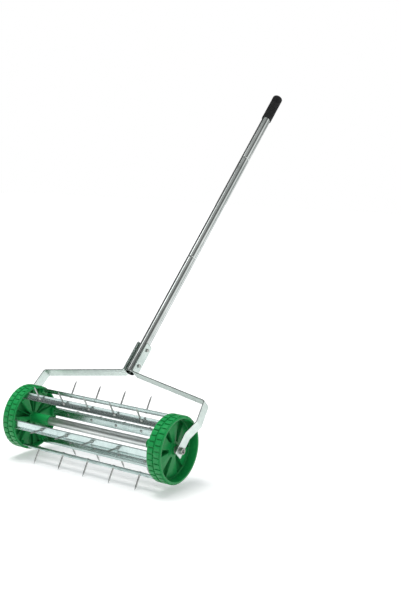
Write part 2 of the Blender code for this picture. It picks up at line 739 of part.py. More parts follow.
def make_handle(handle, steel, rubber):
    tubes = {
        "lower": (HANDLE_START, LOWER_TUBE_LENGTH, True),
        "middle": (MIDDLE_TUBE_START, MIDDLE_TUBE_LENGTH, True),
        "upper": (UPPER_TUBE_START, UPPER_TUBE_LENGTH, False),
    }
    for name, (start, length, spigot) in tubes.items():
        profile = tube_profile(start, length, spigot)
        tube = turned(f"handle_tube_{name}", profile, ROUND_SEGMENTS, closed=True)
        if name == "lower":
            for place in BOLT_PLACES.values():
                centre = (0.0, 0.0, place)
                across = 4 * HANDLE_TUBE_R
                hole = pin("tube_hole", BOLT_HOLE_R, across, BOLT_SEGMENTS, centre, TOWARDS_RIGHT)
                boolean(tube, 'DIFFERENCE', hole)
        new_part(f"handle_tube_{name}", evaluated_mesh(tube, steel), handle)
    grip = turned("handle_grip", grip_profile(), ROUND_SEGMENTS)
    new_part("handle_grip", evaluated_mesh(grip, rubber), handle)


def main():
    clear_scene()
    parts = new_collection("manual_lawn_scarifier")
    new_collection(CONSTRUCTION)

    galvanised = new_material("galvanised_strip", (0.66, 0.74, 0.70), 0.38, 1.0)
    tube_steel = new_material("plated_tube", (0.45, 0.48, 0.47), 0.22, 1.0)
    tine_steel = new_material("plated_pin", (0.50, 0.52, 0.50), 0.30, 1.0)
    zinc = new_material("zinc_fastener", (0.55, 0.56, 0.53), 0.35, 1.0)
    green = new_material("green_plastic", (0.020, 0.360, 0.090), 0.42, 0.0)
    rubber = new_material("black_rubber", (0.015, 0.015, 0.016), 0.75, 0.0)

    axis = (0.0, axis_place_y(), axis_height())
    handle = new_empty("handle_frame", parts, axis, (-math.radians(LEAN_ANGLE), 0.0, 0.0))
    drum = new_empty("drum", parts, axis)

    make_wheels(drum, green)
    make_rows(drum, galvanised, tine_steel)
    make_centre_tube(drum, tube_steel)
    make_axle(handle, tube_steel, zinc)
    make_yoke(handle, galvanised)
    make_clamp_bolts(handle, zinc)
    make_handle(handle, tube_steel, rubber)


main()
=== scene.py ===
import math

import bmesh
import bpy
from mathutils import Matrix, Vector


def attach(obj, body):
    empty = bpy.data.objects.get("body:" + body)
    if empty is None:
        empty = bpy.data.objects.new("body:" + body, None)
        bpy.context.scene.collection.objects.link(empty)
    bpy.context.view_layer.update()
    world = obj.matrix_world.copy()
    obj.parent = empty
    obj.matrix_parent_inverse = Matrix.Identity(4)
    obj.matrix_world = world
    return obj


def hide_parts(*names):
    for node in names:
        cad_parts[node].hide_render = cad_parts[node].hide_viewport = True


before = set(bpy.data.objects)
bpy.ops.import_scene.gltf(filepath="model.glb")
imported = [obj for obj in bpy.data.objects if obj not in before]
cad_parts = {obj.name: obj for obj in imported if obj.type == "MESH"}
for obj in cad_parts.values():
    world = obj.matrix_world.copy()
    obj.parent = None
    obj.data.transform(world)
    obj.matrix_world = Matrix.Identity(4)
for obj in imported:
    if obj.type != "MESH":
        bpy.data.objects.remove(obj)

scene = bpy.context.scene
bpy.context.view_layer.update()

# The view: from in front of the right wheel, a little above the handle's middle. The lens looks
# at the tool from 33 degrees to its right, and the picture is tilted slightly.
camera_spot = (1.7743, -2.620792, 0.9454)
camera_azimuth = math.radians(33.1932)
camera_elevation = math.radians(8.5025)
camera_roll = math.radians(1.6123)
camera_right = Vector((math.cos(camera_azimuth), math.sin(camera_azimuth), 0.0))
camera_back = Vector((math.sin(camera_azimuth) * math.cos(camera_elevation),
                      -math.cos(camera_azimuth) * math.cos(camera_elevation),
                      math.sin(camera_elevation)))
camera_up = camera_back.cross(camera_right)
tilted_right = camera_right * math.cos(camera_roll) + camera_up * math.sin(camera_roll)
tilted_up = camera_up * math.cos(camera_roll) - camera_right * math.sin(camera_roll)
lens = bpy.data.cameras.new("view")
lens.sensor_fit = 'AUTO'
lens.sensor_width = 36.0
lens.lens = 57.34
camera = bpy.data.objects.new("view", lens)
camera.matrix_world = Matrix.Translation(camera_spot) @ Matrix(
    (tilted_right, tilted_up, camera_back)).transposed().to_4x4()
scene.collection.objects.link(camera)
scene.camera = camera
scene.view_settings.view_transform = 'Standard'


# The studio: white walls and a dark ceiling that comes lower on the left, with a pale panel
# overhead, a small window in front and a dim doorway behind, which metal shows. One soft lamp
# hangs almost above the tool. The pale floor stays white to the eye and keeps the tool's shadow.
ceiling_lean = -0.45
ceiling_edge = (0.08, 0.46)
ceiling_light = 0.13
panel_edge = (0.87, 0.95)
panel_light = 0.30
doorway_edge = (0.42, 0.66)
doorway_light = 0.40
window_direction = (-0.485, -0.191, 0.854)
window_edge = (0.985, 0.998)
window_light = 2.4
soft_white = (0.94, 0.97, 1.0, 1.0)
soft_light = 0.54
lamp_direction = (-0.15, -0.10, 0.95)
floor_half = 14
floor_lift = 0.34
full_white = (1.0, 1.0, 1.0, 1.0)


def add_node(tree, kind, inputs=None, **settings):
    """A node with its inputs filled in: a socket is linked, anything else is a value."""
    made = tree.nodes.new(kind)
    for name, value in settings.items():
        setattr(made, name, value)
    for name, value in (inputs or {}).items():
        if isinstance(value, bpy.types.NodeSocket):
            tree.links.new(value, made.inputs[name])
        else:
            made.inputs[name].default_value = value
    return made


def maths(tree, operation, *values):
    """The result of one sum on numbers or sockets."""
    return add_node(tree, "ShaderNodeMath", dict(enumerate(values)), operation=operation).outputs[0]


def mapped(tree, value, span, onto=(0.0, 1.0), curve='LINEAR'):
    """A value's span stretched onto another one, and held at both ends."""
    return add_node(tree, "ShaderNodeMapRange", {
        "Value": value, "From Min": span[0], "From Max": span[1], "To Min": onto[0], "To Max": onto[1]},
        interpolation_type=curve).outputs[0]


room = bpy.data.worlds.new("studio")
room.use_nodes = True
room_tree = room.node_tree
room_tree.nodes.clear()
ray = add_node(room_tree, "ShaderNodeLightPath").outputs
direction = add_node(room_tree, "ShaderNodeTexCoord").outputs["Generated"]
toward = add_node(room_tree, "ShaderNodeSeparateXYZ", {0: direction}).outputs
leaning = maths(room_tree, 'MULTIPLY_ADD', toward["X"], ceiling_lean, toward["Z"])
shade = mapped(room_tree, leaning, ceiling_edge, (1.0, ceiling_light), 'SMOOTHSTEP')
overhead = mapped(room_tree, toward["Z"], panel_edge, (0.0, panel_light), 'SMOOTHSTEP')
doorway = mapped(room_tree, toward["Y"], doorway_edge, (1.0, doorway_light), 'SMOOTHSTEP')
ceiling = maths(room_tree, 'MULTIPLY', maths(room_tree, 'ADD', shade, overhead), doorway)
to_window = add_node(room_tree, "ShaderNodeVectorMath", {0: direction, 1: window_direction},
                     operation='DOT_PRODUCT').outputs["Value"]
window = mapped(room_tree, to_window, window_edge, (0.0, window_light))
walls = add_node(room_tree, "ShaderNodeBackground", {
    "Color": full_white, "Strength": maths(room_tree, 'ADD', ceiling, window)})
white = add_node(room_tree, "ShaderNodeBackground", {"Color": full_white, "Strength": 1.0})
soft = add_node(room_tree, "ShaderNodeBackground", {"Color": soft_white, "Strength": soft_light})
shiny = add_node(room_tree, "ShaderNodeMixShader", {
    "Fac": ray["Is Glossy Ray"], 1: soft.outputs[0], 2: walls.outputs[0]})
clear = add_node(room_tree, "ShaderNodeMixShader", {
    "Fac": ray["Is Transmission Ray"], 1: shiny.outputs[0], 2: white.outputs[0]})
seen = add_node(room_tree, "ShaderNodeMixShader", {
    "Fac": ray["Is Camera Ray"], 1: clear.outputs[0], 2: white.outputs[0]})
add_node(room_tree, "ShaderNodeOutputWorld", {"Surface": seen.outputs[0]})
scene.world = room

lamp = bpy.data.lights.new("soft_lamp", 'SUN')
lamp.angle = math.radians(28.0)
lamp.energy = 1.85
lamp.color = (1.0, 0.985, 0.96)
lamp_stand = bpy.data.objects.new("soft_lamp", lamp)
lamp_stand.matrix_world = Vector(lamp_direction).to_track_quat('Z', 'Y').to_matrix().to_4x4()
lamp_stand.visible_glossy = False
scene.collection.objects.link(lamp_stand)

floor_mesh = bpy.data.meshes.new("studio_floor")
floor_corners = [(-floor_half, -floor_half, 0), (floor_half, -floor_half, 0),
                 (floor_half, floor_half, 0), (-floor_half, floor_half, 0)]
floor_mesh.from_pydata(floor_corners, [], [(0, 1, 2, 3)])
floor_paint = bpy.data.materials.new("studio_floor")
floor_paint.use_nodes = True
floor_tree = floor_paint.node_tree
floor_tree.nodes.clear()
ray = add_node(floor_tree, "ShaderNodeLightPath").outputs
seen = maths(floor_tree, 'MAXIMUM', ray["Is Camera Ray"], ray["Is Glossy Ray"])
matt = add_node(floor_tree, "ShaderNodeBsdfDiffuse", {"Color": (0.80, 0.80, 0.81, 1.0)})
glow = add_node(floor_tree, "ShaderNodeEmission", {
    "Color": full_white, "Strength": maths(floor_tree, 'MULTIPLY', seen, floor_lift)})
both = add_node(floor_tree, "ShaderNodeAddShader", {0: matt.outputs[0], 1: glow.outputs[0]})
add_node(floor_tree, "ShaderNodeOutputMaterial", {"Surface": both.outputs[0]})
floor_mesh.materials.append(floor_paint)
studio_floor = bpy.data.objects.new("studio_floor", floor_mesh)
scene.collection.objects.link(studio_floor)


# Handle: three bright zinc-plated steel tubes, drawn to 31 mm with a 1.5 mm wall. Each one's
# reduced end is pushed into the next, so only a rolled edge shows at a joint.
gap = 0.0003
lean = math.radians(44.5)
axle_spot = (0.0, -0.451182, 0.121244)
axle_place = Matrix.Translation(axle_spot)
handle_place = axle_place @ Matrix.Rotation(-lean, 4, 'X')
tube_r = 0.0155
tube_wall = 0.0015
tube_roll = (0.0008, 0.0020)
tube_lip_r = 0.0003
tube_fillets = (0.0004, 0.0020, 0.0020, 0.0004)
tube_start = 0.217
tube_lengths = {"lower": 0.466, "middle": 0.465, "upper": 0.320}
tube_steps = 96
plug_length = 0.045
plug_chamfer = (0.0006, 0.0008)
plug_shoulder = 0.003


def rounded(corners, radii, steps):
    """A flat path with an arc in place of each corner that has a radius."""
    path = []
    for index, corner in enumerate(corners):
        corner = Vector(corner)
        if not radii[index]:
            path.append(corner)
            continue
        before = (Vector(corners[index - 1]) - corner).normalized()
        after = (Vector(corners[(index + 1) % len(corners)]) - corner).normalized()
        half_angle = before.angle(after) / 2
        centre = corner + (before + after).normalized() * (radii[index] / math.sin(half_angle))
        start = corner + before * (radii[index] / math.tan(half_angle)) - centre
        end = corner + after * (radii[index] / math.tan(half_angle)) - centre
        for step in range(steps + 1):
            path.append(centre + start.lerp(end, step / steps).normalized() * radii[index])
    return path


def skin(name, rings, along_closed=False, place=Matrix.Identity(4)):
    """A closed surface over rings of points: a ring of one point ends it in a tip."""
    points = []
    starts = []
    for ring in rings:
        starts.append(len(points))
        points.extend(ring)
    faces = []
    pairs = list(zip(range(len(rings)), range(1, len(rings))))
    if along_closed:
        pairs.append((len(rings) - 1, 0))
    for first, second in pairs:
        count = max(len(rings[first]), len(rings[second]))
        for step in range(count):
            following = (step + 1) % count
            low = [starts[first] + step, starts[first] + following]
            high = [starts[second] + following, starts[second] + step]
            if len(rings[first]) == 1:
                low = [starts[first]]
            if len(rings[second]) == 1:
                high = [starts[second]]
            faces.append(low + high)
    mesh = bpy.data.meshes.new(name)
    mesh.from_pydata(points, [], faces)
    mesh.transform(place)
    work = bmesh.new()
    work.from_mesh(mesh)
    for first_or_last in (rings[0], rings[-1]):
        if len(first_or_last) > 2 and not along_closed:
            start = 0 if first_or_last is rings[0] else starts[-1]
            work.verts.ensure_lookup_table()
            work.faces.new([work.verts[start + step] for step in range(len(first_or_last))])
    bmesh.ops.recalc_face_normals(work, faces=work.faces)
    work.to_mesh(mesh)
    work.free()
    return mesh


def turned(name, outline, steps, closed=False, place=Matrix.Identity(4)):
    """A (radius, height) outline turned about its own Z, then put in its place."""
    rings = []
    for radius, height_z in outline:
        if radius == 0:
            rings.append([(0.0, 0.0, height_z)])
            continue
        angles = [2 * math.pi * step / steps for step in range(steps)]
        rings.append([(radius * math.cos(angle), radius * math.sin(angle), height_z) for angle in angles])
    return skin(name, rings, along_closed=closed, place=place)


def show(name, mesh, finish, smooth_angle=40.0):
    """The finished piece: smooth faces with crisp edges, in its finish."""
    mesh.name = name
    mesh.materials.clear()
    mesh.materials.append(finish)
    mesh.shade_smooth()
    mesh.set_sharp_from_angle(angle=math.radians(smooth_angle))
    piece = bpy.data.objects.new(name, mesh)
    scene.collection.objects.link(piece)
    return piece


def new_finish(name):
    """A plain material, with its tree, its surface shader and each point's place on the tool."""
    finish = bpy.data.materials.new(name)
    finish.use_nodes = True
    tree = finish.node_tree
    place = add_node(tree, "ShaderNodeTexCoord").outputs["Object"]
    return finish, tree, tree.nodes["Principled BSDF"], place


def noise(tree, place, scale, detail, roughness=0.5):
    """Soft random tones, each about 1 / scale metres across."""
    return add_node(tree, "ShaderNodeTexNoise", {
        "Vector": place, "Scale": scale, "Detail": detail, "Roughness": roughness}).outputs[0]


def mixed(tree, share, first, second):
    """The colour between two others."""
    return add_node(tree, "ShaderNodeMix", {0: share, 6: first, 7: second}, data_type='RGBA').outputs[2]


def link_surface(tree, surface, colour, roughness, bump):
    """Leads the pattern to the surface shader."""
    tree.links.new(colour, surface.inputs["Base Color"])
    tree.links.new(roughness, surface.inputs["Roughness"])
    tree.links.new(bump.outputs[0], surface.inputs["Normal"])


def worked_steel(name, dark, light, rough, grain, turn=0.0, edge_tint=0.5, bump=0.15, crystals=0.0):
    """Plated steel with a grain drawn along one direction, cloudy plating and fine specks."""
    finish, tree, surface, place = new_finish(name)
    surface.inputs["Metallic"].default_value = 1.0
    surface.inputs["Specular Tint"].default_value = (edge_tint, edge_tint, edge_tint, 1.0)
    along = add_node(tree, "ShaderNodeMapping", {"Vector": place, "Rotation": (turn, 0.0, 0.0)})
    stretched = add_node(tree, "ShaderNodeMapping", {"Vector": along.outputs[0], "Scale": grain})
    lines = noise(tree, stretched.outputs[0], 1.0, 5.0, 0.65)
    clouds = noise(tree, place, 14.0, 3.0)
    specks = noise(tree, place, 900.0, 2.0)
    crystal = add_node(tree, "ShaderNodeTexVoronoi", {"Vector": place, "Scale": 130.0})
    crystal_tone = maths(tree, 'MULTIPLY', crystal.outputs["Color"], crystals)
    tone = maths(tree, 'ADD', maths(tree, 'ADD', lines, clouds), crystal_tone)
    spread = mapped(tree, tone, (0.72, 1.35))
    colour = mixed(tree, spread, (*dark, 1.0), (*light, 1.0))
    worn = maths(tree, 'MULTIPLY', specks, lines)
    ridges = maths(tree, 'ADD', lines, crystal_tone)
    raised = add_node(tree, "ShaderNodeBump", {"Height": ridges, "Strength": bump, "Distance": 0.0004})
    link_surface(tree, surface, colour, mapped(tree, worn, (0.10, 0.42), rough), raised)
    return finish


tube_steel = worked_steel("drawn_tube_steel", (0.56, 0.61, 0.59), (0.84, 0.88, 0.86), (0.10, 0.24),
                          (420.0, 420.0, 3.0), turn=lean, edge_tint=0.4)
bore_r = tube_r - tube_wall
start = tube_start
for name, length in tube_lengths.items():
    end = start + length
    rolled_r = tube_r - tube_roll[0]
    corners = [(bore_r, start), (rolled_r, start), (tube_r, start + tube_roll[1]),
               (tube_r, end - tube_roll[1]), (rolled_r, end), (bore_r, end)]
    outside = rounded(corners, (tube_lip_r, *tube_fillets, tube_lip_r if name == "upper" else 0), 5)
    if name == "upper":
        plug = []
    else:
        plug_r = bore_r - gap
        plug_end = end + plug_length
        plug = [(plug_r, end), (plug_r, plug_end - plug_chamfer[1]), (plug_r - plug_chamfer[0], plug_end),
                (plug_r - tube_wall, plug_end), (plug_r - tube_wall, end), (bore_r, end - plug_shoulder)]
    tube_mesh = turned("tube", [tuple(point) for point in outside] + plug, tube_steps, closed=True,
                       place=handle_place)
    tube = show(f"tube_{name}", tube_mesh, tube_steel)
    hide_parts(f"handle_tube_{name}")
    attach(tube, "handle_frame")
    start = end + gap
tube_top = start - gap


# Grip: a black rubber sleeve pushed over the top of the handle. It is moulded with a smooth
# collar at both ends and fine rings in between, which make it easy to hold.
grip_r = 0.0183
grip_bore_r = tube_r + gap
grip_cap = 0.002
grip_top = tube_top + gap + grip_cap
grip_length = 0.115
grip_steps = 72
top_collar = 0.011
bottom_collar = 0.010
collar_slope = 0.001
crown_r = 0.004
sleeve_edge_r = 0.0005
mouth_edge_r = 0.0008
ring_count = 30
ring_pitch = 0.0030
ring_height = 0.0012
ring_bead_r = 0.00108
first_ring = 0.014
rubber_black = (0.012, 0.012, 0.013, 1.0)
rubber_bloom = (0.035, 0.035, 0.034, 1.0)

rubber, rubber_tree, rubber_surface, place = new_finish("moulded_rubber")
rubber_surface.inputs["Specular IOR Level"].default_value = 0.35
pebbles = noise(rubber_tree, place, 1400.0, 3.0)
dust = noise(rubber_tree, place, 40.0, 6.0)
black = mixed(rubber_tree, mapped(rubber_tree, dust, (0.4, 0.75)), rubber_black, rubber_bloom)
dull = mapped(rubber_tree, dust, (0.0, 1.0), (0.55, 0.85))
raised = add_node(rubber_tree, "ShaderNodeBump", {"Height": pebbles, "Strength": 0.25, "Distance": 0.0002})
link_surface(rubber_tree, rubber_surface, black, dull, raised)


def new_tree(name, inputs):
    """An empty geometry tree with named inputs and one geometry output."""
    tree = bpy.data.node_groups.new(name, 'GeometryNodeTree')
    for label, (kind, value) in inputs.items():
        socket = tree.interface.new_socket(label, in_out='INPUT', socket_type=kind)
        if value is not None:
            socket.default_value = value
    tree.interface.new_socket("Geometry", in_out='OUTPUT', socket_type='NodeSocketGeometry')
    return tree, tree.nodes.new('NodeGroupInput').outputs


def end_tree(tree, geometry, finish):
    """Makes the copies real, gives them their finish and ends the tree."""
    real = add_node(tree, "GeometryNodeRealizeInstances", {"Geometry": geometry})
    painted = add_node(tree, "GeometryNodeSetMaterial", {"Geometry": real.outputs[0], "Material": finish})
    add_node(tree, "NodeGroupOutput", {"Geometry": painted.outputs[0]})


def grown(name, tree, values, seed_mesh=None):
    """The plain mesh that a tree makes with these values."""
    holder = bpy.data.objects.new(name, seed_mesh or bpy.data.meshes.new(name))
    scene.collection.objects.link(holder)
    modifier = holder.modifiers.new(name, 'NODES')
    modifier.node_group = tree
    for item in tree.interface.items_tree:
        if item.in_out == 'INPUT' and item.name in values:
            modifier[item.identifier] = values[item.name]
    bpy.context.view_layer.update()
    depsgraph = bpy.context.evaluated_depsgraph_get()
    mesh = bpy.data.meshes.new_from_object(holder.evaluated_get(depsgraph), depsgraph=depsgraph)
    bpy.data.objects.remove(holder)
    return mesh


grip_tree, given = new_tree("grip_rings", {
    "Geometry": ('NodeSocketGeometry', None), "Rings": ('NodeSocketInt', 10),
    "Pitch": ('NodeSocketFloat', 0.003), "First": ('NodeSocketFloat', 0.0),
    "Sleeve radius": ('NodeSocketFloat', 0.015),
    "Ring radius": ('NodeSocketFloat', 0.0006), "Finish": ('NodeSocketMaterial', None)})
first = add_node(grip_tree, "ShaderNodeCombineXYZ", {"Z": given["First"]})
step = add_node(grip_tree, "ShaderNodeCombineXYZ", {"Z": given["Pitch"]})
line = add_node(grip_tree, "GeometryNodeMeshLine", {
    "Count": given["Rings"], "Start Location": first.outputs[0], "Offset": step.outputs[0]})
hoop = add_node(grip_tree, "GeometryNodeCurvePrimitiveCircle", {
    "Resolution": grip_steps, "Radius": given["Sleeve radius"]})
bead = add_node(grip_tree, "GeometryNodeCurvePrimitiveCircle", {
    "Resolution": 8, "Radius": given["Ring radius"]})
ring = add_node(grip_tree, "GeometryNodeCurveToMesh", {
    "Curve": hoop.outputs[0], "Profile Curve": bead.outputs[0]})
rings = add_node(grip_tree, "GeometryNodeInstanceOnPoints", {
    "Points": line.outputs[0], "Instance": ring.outputs[0]})
joined = add_node(grip_tree, "GeometryNodeJoinGeometry")
grip_tree.links.new(rings.outputs[0], joined.inputs[0])
grip_tree.links.new(given["Geometry"], joined.inputs[0])
end_tree(grip_tree, joined.outputs[0], given["Finish"])

bottom = grip_top - grip_length
waist_r = grip_r - ring_height
sleeve = rounded(
    [(0.0, grip_top), (grip_r, grip_top), (grip_r, grip_top - top_collar),
     (waist_r, grip_top - top_collar - collar_slope), (waist_r, bottom + bottom_collar + collar_slope),
     (grip_r, bottom + bottom_collar), (grip_r, bottom), (grip_bore_r, bottom),
     (grip_bore_r, grip_top - grip_cap), (0.0, grip_top - grip_cap)],
    (0, crown_r, sleeve_edge_r, 0, 0, sleeve_edge_r, mouth_edge_r, sleeve_edge_r, 0, 0), 6)
sleeve_mesh = turned("grip_sleeve", [tuple(point) for point in sleeve], grip_steps)
grip_mesh = grown("grip", grip_tree, {
    "Rings": ring_count, "Pitch": ring_pitch, "First": bottom + first_ring, "Sleeve radius": waist_r,
    "Ring radius": ring_bead_r, "Finish": rubber}, sleeve_mesh)
grip_mesh.transform(handle_place)
grip = show("grip", grip_mesh, rubber)
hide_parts("handle_grip")
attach(grip, "handle_frame")


# Yoke: two strips of galvanised sheet steel, 34 by 3 mm, bent four times on a press. Each is
# clamped flat against the tube at its top and hangs on the axle at its square lower end. Its long
# edges were sheared before plating, so they are duller than the faces; their much darker colour
# is painted shade, standing in for the shadow and dark reflection that lie along them.
strip_thickness = 0.003
strip_width = 0.034
strip_edge = 0.0006
flange_x = tube_r + gap + strip_thickness / 2
strip_x = 0.300
strip_top = 0.3265
strip_bottom = -0.018
strip_path = [(flange_x, strip_top), (flange_x, 0.2155), (0.3105, 0.1625), (0.3185, 0.0920),
              (strip_x, 0.0480), (strip_x, strip_bottom)]
strip_bend_r = 0.006
strip_corner_r = 0.007
corner_stations = (0.0, 0.0008, 0.0020, 0.0035, 0.0050, strip_corner_r)
painted_shade_edge_facing = 0.8
bolt_places = {"lower": 0.246, "upper": 0.306}
bolt_r = 0.003
axle_r = 0.006

strip_steel = worked_steel("galvanised_strip_steel", (0.57, 0.66, 0.62), (0.74, 0.83, 0.785), (0.30, 0.50),
                           (160.0, 160.0, 24.0), turn=lean, edge_tint=0.5, bump=0.12, crystals=0.35)
# Painted shade: the edge steel is far darker than the faces, in place of the shade along the strips' edges.
sheared_steel_with_painted_shade = worked_steel("sheared_edge_steel_with_painted_shade", (0.13, 0.16, 0.15), (0.30, 0.34, 0.32), (0.40, 0.60),
                             (240.0, 900.0, 240.0), turn=lean, edge_tint=0.2, bump=0.3, crystals=0.1)
strip_across = (handle_place.to_3x3() @ Vector((0.0, 1.0, 0.0))).normalized()


def bent_strip(place):
    """The strip as a run of rounded cross-sections along its bent path."""
    path = rounded(strip_path, (0, *(strip_bend_r,) * 4, 0), 8)
    down = (path[1] - path[0]).normalized()
    stations = [(path[0] + down * reach, reach) for reach in corner_stations]
    stations += [(point, 1.0) for point in path[1:-1]]
    stations += [(path[-1] + Vector((0.0, strip_edge)), 1.0), (path[-1], 1.0)]
    rings = []
    for index, (point, reach) in enumerate(stations):
        before = stations[max(index - 1, 0)][0]
        after = stations[min(index + 1, len(stations) - 1)][0]
        run_in = (point - before).normalized() if index else (after - point).normalized()
        run_out = (after - point).normalized() if index < len(stations) - 1 else run_in
        normal = Vector((-run_in.y, run_in.x))
        mitre = (normal + Vector((-run_out.y, run_out.x))).normalized()
        across = mitre / mitre.dot(normal)
        half_width = strip_width / 2
        if reach < strip_corner_r:
            left_over = strip_corner_r - reach
            half_width -= strip_corner_r - math.sqrt(strip_corner_r ** 2 - left_over ** 2)
        half_sheet = strip_thickness / 2
        if index in (0, len(stations) - 1):
            half_width -= strip_edge
            half_sheet -= strip_edge
        corners = [(half_sheet, half_width), (-half_sheet, half_width), (-half_sheet, -half_width),
                   (half_sheet, -half_width)]
        section = rounded(corners, (strip_edge,) * 4, 3)
        rings.append([(point.x + across.x * out, wide, point.y + across.y * out) for out, wide in section])
    return skin("strip", rings, place=place)


for side, turn in (("right", 0.0), ("left", math.pi)):
    strip = show(f"strip_{side}", bent_strip(handle_place @ Matrix.Rotation(turn, 4, 'Z')), strip_steel)
    strip.data.materials.append(sheared_steel_with_painted_shade)
    # The edge faces take the darker steel, which paints shade along them.
    for polygon in strip.data.polygons:
        if abs(polygon.normal.dot(strip_across)) > painted_shade_edge_facing:
            polygon.material_index = 1
    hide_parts(f"yoke_arm_{side}")
    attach(strip, "handle_frame")


# Clamp bolts: two M6 hexagon bolts, cold headed and dull zinc plated. They run from the right
# flange through the tube to a nut on the left flange, with a little thread left over.
bolt_head_width = 0.010
bolt_head_height = 0.004
bolt_chamfer = 0.0007
bolt_pitch = 0.001
bolt_ridge = 0.00032
bolt_turns_shown = 2.6
clamp_nut_height = 0.005
bolt_end = 0.003
nut_sink = 0.0006
hexagon_steps = 72
hexagon_seat = 0.96
hexagon_chamfer = math.radians(30.0)
bolt_head_x = flange_x + strip_thickness / 2 + gap
towards_right = Matrix.Rotation(math.pi / 2, 4, 'Y')
towards_left = Matrix.Rotation(-math.pi / 2, 4, 'Y')

fastener_zinc = worked_steel("dull_zinc", (0.34, 0.345, 0.33), (0.60, 0.61, 0.575), (0.28, 0.52),
                             (900.0, 900.0, 900.0), edge_tint=0.4, bump=0.3, crystals=0.2)

thread_tree, given = new_tree("screw_thread", {
    "Turns": ('NodeSocketFloat', 3.0), "Radius": ('NodeSocketFloat', 0.003),
    "Pitch": ('NodeSocketFloat', 0.001), "Depth": ('NodeSocketFloat', 0.0004),
    "Finish": ('NodeSocketMaterial', None)})
helix = add_node(thread_tree, "GeometryNodeCurveSpiral", {
    "Resolution": 36, "Rotations": given["Turns"], "Start Radius": given["Radius"],
    "End Radius": given["Radius"], "Height": maths(thread_tree, 'MULTIPLY', given["Turns"], given["Pitch"])})
ridge = add_node(thread_tree, "GeometryNodeCurvePrimitiveCircle", {
    "Resolution": 4, "Radius": given["Depth"]})
wound = add_node(thread_tree, "GeometryNodeCurveToMesh", {
    "Curve": helix.outputs[0], "Profile Curve": ridge.outputs[0], "Fill Caps": True})
end_tree(thread_tree, wound.outputs[0], given["Finish"])


def thread(turns, radius, pitch, depth, place):
    """A screw's ridge wound upwards from its place."""
    values = {"Turns": turns, "Radius": radius, "Pitch": pitch, "Depth": depth, "Finish": fastener_zinc}
    mesh = grown("thread", thread_tree, values)
    mesh.transform(place)
    return mesh


def joined_mesh(name, meshes):
    """Several meshes in one."""
    work = bmesh.new()
    for mesh in meshes:
        work.from_mesh(mesh)
    whole = bpy.data.meshes.new(name)
    work.to_mesh(whole)
    work.free()
    return whole


def hexagon_rings(width, height_z):
    """The outside of a hexagon from its top circle to its bottom one, with chamfered corners."""
    flat_r = width / 2
    seat_r = flat_r * hexagon_seat
    rings = [[], [], [], []]
    for step in range(hexagon_steps):
        angle = 2 * math.pi * step / hexagon_steps
        from_flat = 2 * math.pi * (step % (hexagon_steps // 6)) / hexagon_steps - math.pi / 6
        corner_r = flat_r / math.cos(from_flat)
        slope = (corner_r - seat_r) * math.tan(hexagon_chamfer)
        for ring, radius, level in zip(rings, (seat_r, corner_r, corner_r, seat_r),
                                       (height_z, height_z - slope, slope, 0.0)):
            ring.append((radius * math.cos(angle), radius * math.sin(angle), level))
    return rings


def circle(radius, level):
    """A round ring with as many points as a hexagon's."""
    angles = [2 * math.pi * step / hexagon_steps for step in range(hexagon_steps)]
    return [(radius * math.cos(angle), radius * math.sin(angle), level) for angle in angles]


def nut(name, width, height_z, hole_r, place):
    """A hexagon nut with a plain hole, countersunk at both ends."""
    rings = hexagon_rings(width, height_z)
    rings += [circle(hole_r + nut_sink, 0.0), circle(hole_r, nut_sink), circle(hole_r, height_z - nut_sink),
              circle(hole_r + nut_sink, height_z)]
    return skin(name, rings, along_closed=True, place=place)


bolt_length = 2 * bolt_head_x + clamp_nut_height + bolt_end
for name, up in bolt_places.items():
    right_end = handle_place @ Matrix.Translation((bolt_head_x, 0.0, up)) @ towards_right
    left_end = handle_place @ Matrix.Translation((-bolt_head_x, 0.0, up)) @ towards_left
    rings = [[(0.0, 0.0, bolt_head_height)]] + hexagon_rings(bolt_head_width, bolt_head_height)
    rings += [circle(bolt_r, 0.0), circle(bolt_r, bolt_chamfer - bolt_length),
              circle(bolt_r - bolt_chamfer, -bolt_length), [(0.0, 0.0, -bolt_length)]]
    shank = skin("bolt", rings, place=right_end)
    ridge_mesh = thread(bolt_turns_shown, bolt_r, bolt_pitch, bolt_ridge,
                        left_end @ Matrix.Translation((0.0, 0.0, clamp_nut_height)))
    bolt = show(f"bolt_{name}", joined_mesh("bolt", [shank, ridge_mesh]), fastener_zinc)
    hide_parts(f"clamp_bolt_{name}")
    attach(bolt, "handle_frame")
    nut_mesh = nut("nut", bolt_head_width, clamp_nut_height, bolt_r + gap, left_end)
    clamp_nut = show(f"bolt_nut_{name}", nut_mesh, fastener_zinc)
    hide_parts(f"clamp_nut_{name}")
    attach(clamp_nut, "handle_frame")


# Axle: a 12 mm steel rod, threaded at both ends. On each side a washer keeps the wheel clear
# of a jam nut, and the outer nut is screwed past the rod's end, so its bore looks black.
wheel_inner_x = 0.252
washer_x = 0.2863
washer_height = 0.002
washer_r = 0.012
jam_nut_x = washer_x + washer_height + gap
jam_nut_height = 0.0096
axle_nut_x = strip_x + strip_thickness / 2 + gap
axle_nut_width = 0.019
axle_nut_height = 0.010
axle_recess = 0.0055
bore_r = axle_r + gap
rod_chamfer = 0.001
thread_r = bore_r - 0.0001
thread_pitch = 0.0015
thread_ridge = 0.0006
thread_turns_shown = 2.4
thread_start = axle_nut_height - axle_recess + 0.0012

half_rod = axle_nut_x + axle_nut_height - axle_recess
rod_outline = [(0.0, half_rod), (axle_r - rod_chamfer, half_rod), (axle_r, half_rod - rod_chamfer),
               (axle_r, rod_chamfer - half_rod), (axle_r - rod_chamfer, -half_rod), (0.0, -half_rod)]
rod = show("axle", turned("axle", rod_outline, 48, place=axle_place @ towards_right), tube_steel)
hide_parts("axle_rod")
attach(rod, "handle_frame")

